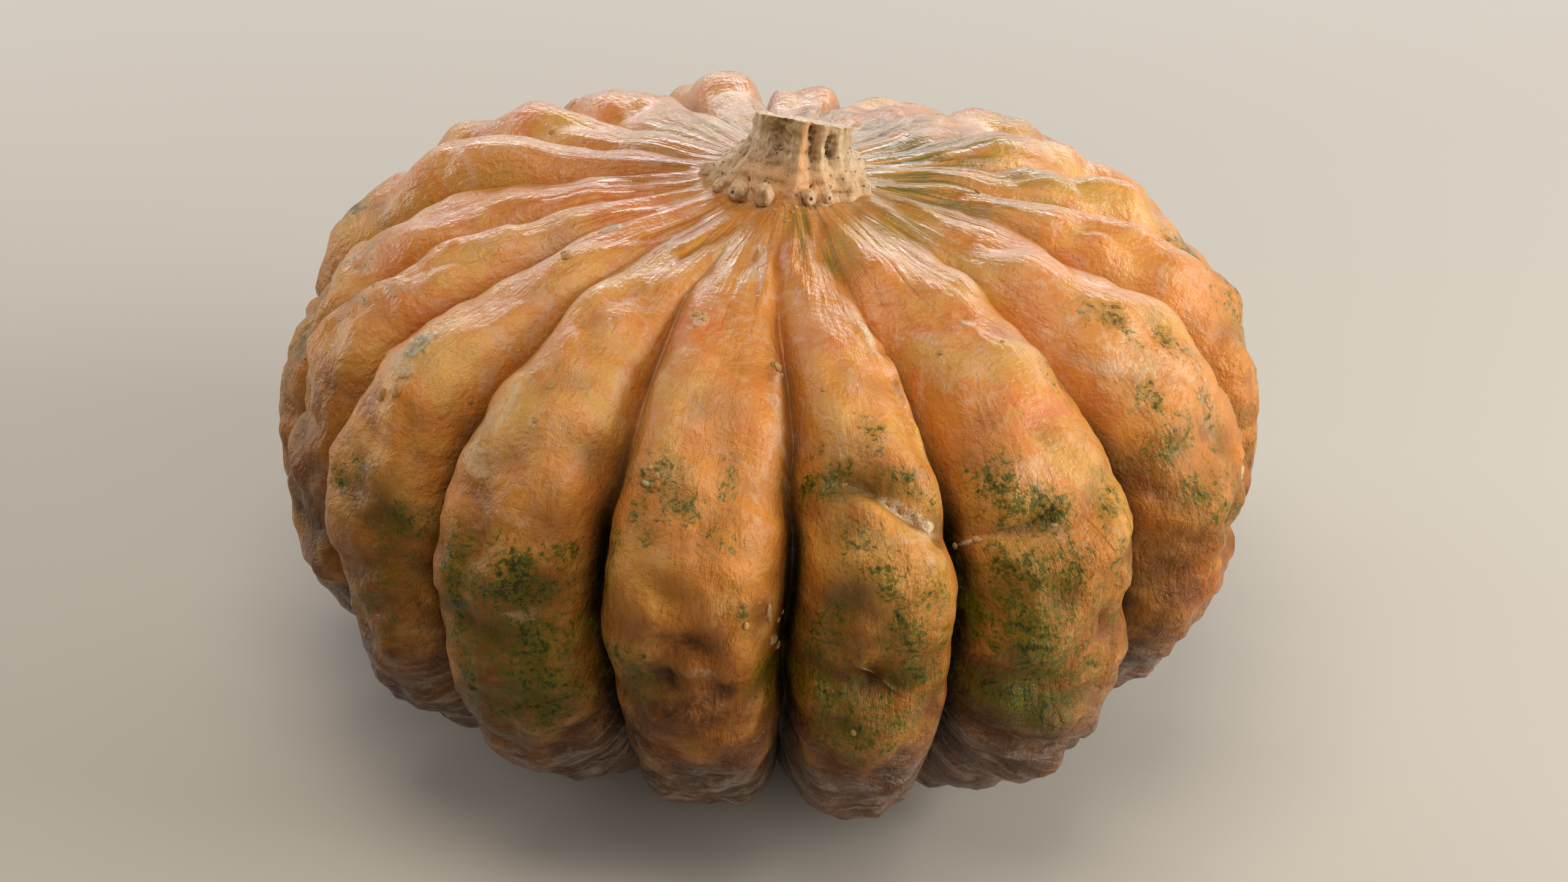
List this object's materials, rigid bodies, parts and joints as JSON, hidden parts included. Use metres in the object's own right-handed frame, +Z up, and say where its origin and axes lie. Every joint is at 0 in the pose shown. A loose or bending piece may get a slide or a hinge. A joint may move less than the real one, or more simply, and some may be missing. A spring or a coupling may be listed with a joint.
{
  "type": "pumpkin",
  "caption": "Squat ribbed pumpkin with deep grooves, uneven lumpy ribs and a short cut stem, resting on a small flat spot.",
  "frame": {"origin": "on the surface it rests on, under the middle of the fruit", "axes": "+Z up along the fruit's short axis towards the stem, -Y towards the side shown in the picture, +X to the right of it"},
  "size_m": [0.381, 0.379, 0.2413],
  "materials": {
    "rind": "waxy orange pumpkin rind with tan and pink blotches and dark green mottling, satin with soft gloss on the crests",
    "stem": "dry corky beige stem, ridged and pitted, dull"
  },
  "bodies": {
    "root": {"fruit": "rind", "stem": "stem"}
  },
  "joints": []
}
